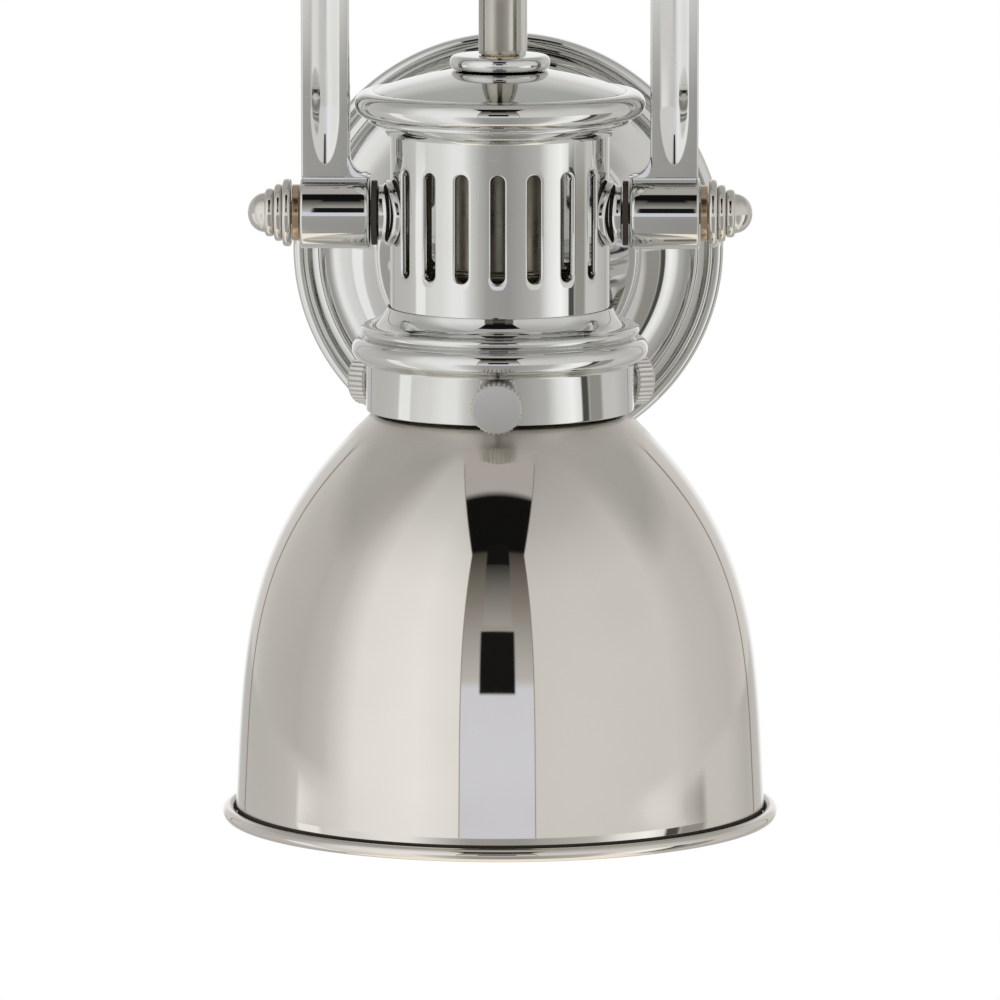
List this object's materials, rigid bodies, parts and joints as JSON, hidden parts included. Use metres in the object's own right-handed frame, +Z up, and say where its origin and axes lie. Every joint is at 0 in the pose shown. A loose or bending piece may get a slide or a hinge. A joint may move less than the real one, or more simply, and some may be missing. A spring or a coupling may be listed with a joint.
{
  "type": "wall light",
  "caption": "Wall light with a round stepped plate, a gooseneck tube arm, a yoke and a slotted lamp head that tilts, with a bell shade below.",
  "frame": {"origin": "centre of the wall plate's back, on the wall", "axes": "+Z up, +Y into the wall along the plate's axis, +X to the right seen from the room; the light stands out along -Y"},
  "size_m": [0.1522, 0.2001, 0.3283],
  "materials": {
    "polished_nickel": "polished",
    "warm_nickel": "soft polish",
    "satin_nickel": "satin",
    "zinc_steel": "zinc plated",
    "black_fibre": "matt",
    "raw_aluminium": "plain",
    "card": "matt",
    "brass": "plain",
    "porcelain": "glazed",
    "nylon": "matt",
    "frosted_glass": "frosted",
    "green_steel": "painted"
  },
  "bodies": {
    "base": {"wall_plate": "polished_nickel", "mounting_bar": "zinc_steel", "box_screw_upper": "zinc_steel", "box_screw_lower": "zinc_steel", "plate_stud_upper": "zinc_steel", "plate_stud_lower": "zinc_steel", "plate_nut_upper": "polished_nickel", "plate_nut_lower": "polished_nickel", "ground_screw": "green_steel", "arm_hub": "polished_nickel", "arm_nipple": "brass", "arm_locknut": "brass", "gooseneck_arm": "polished_nickel", "crown_ferrule": "polished_nickel", "yoke_crown": "polished_nickel", "crown_bushing": "nylon", "crown_screw_left": "satin_nickel", "crown_screw_right": "satin_nickel", "yoke_arm_left": "polished_nickel", "yoke_arm_right": "polished_nickel"},
    "head": {"housing": "polished_nickel", "cap": "polished_nickel", "collar": "polished_nickel", "stem": "polished_nickel", "stem_bushing": "nylon", "head_nipple": "brass", "head_locknut": "brass", "shade_holder": "polished_nickel", "pivot_boss_left": "polished_nickel", "pivot_boss_right": "polished_nickel", "pivot_stud_left": "zinc_steel", "pivot_stud_right": "zinc_steel", "friction_washer_left": "black_fibre", "friction_washer_right": "black_fibre", "pivot_spacer_left": "warm_nickel", "pivot_spacer_right": "warm_nickel", "socket_cap": "raw_aluminium", "socket_shell": "raw_aluminium", "socket_liner": "card", "screw_shell": "brass", "socket_core": "porcelain", "centre_contact": "brass"},
    "pivot_nut_left": {"pivot_nut_left": "warm_nickel"},
    "pivot_nut_right": {"pivot_nut_right": "warm_nickel"},
    "thumbscrew_front": {"thumbscrew_front": "satin_nickel"},
    "thumbscrew_left": {"thumbscrew_left": "satin_nickel"},
    "thumbscrew_right": {"thumbscrew_right": "satin_nickel"},
    "shade": {"shade": "warm_nickel"},
    "bulb": {"bulb_base": "raw_aluminium", "bulb_glass": "frosted_glass"}
  },
  "joints": [
    {"name": "head_tilt", "type": "hinge", "parent": "base", "child": "head", "pos_m": [0, -0.115, 0.022], "axis": [-1, 0, 0], "range_deg": [-12, 32]},
    {"name": "pivot_nut_left_turn", "type": "hinge", "parent": "head", "child": "pivot_nut_left", "pos_m": [-0.0569, -0.115, 0.022], "axis": [-1, 0, 0], "range_deg": [0, 360]},
    {"name": "pivot_nut_right_turn", "type": "hinge", "parent": "head", "child": "pivot_nut_right", "pos_m": [0.0569, -0.115, 0.022], "axis": [1, 0, 0], "range_deg": [0, 360]},
    {"name": "thumbscrew_front_back_off", "type": "slide", "parent": "head", "child": "thumbscrew_front", "axis": [0, -1, 0], "range_m": [0, 0.004]},
    {"name": "thumbscrew_left_back_off", "type": "slide", "parent": "head", "child": "thumbscrew_left", "axis": [-0.866, 0.5, 0], "range_m": [0, 0.004]},
    {"name": "thumbscrew_right_back_off", "type": "slide", "parent": "head", "child": "thumbscrew_right", "axis": [0.866, 0.5, 0], "range_m": [0, 0.004]},
    {"name": "shade_lift_off", "type": "slide", "parent": "head", "child": "shade", "axis": [0, 0, -1], "range_m": [0, 0.08]},
    {"name": "bulb_take_out", "type": "slide", "parent": "head", "child": "bulb", "axis": [0, 0, -1], "range_m": [0, 0.165]}
  ]
}
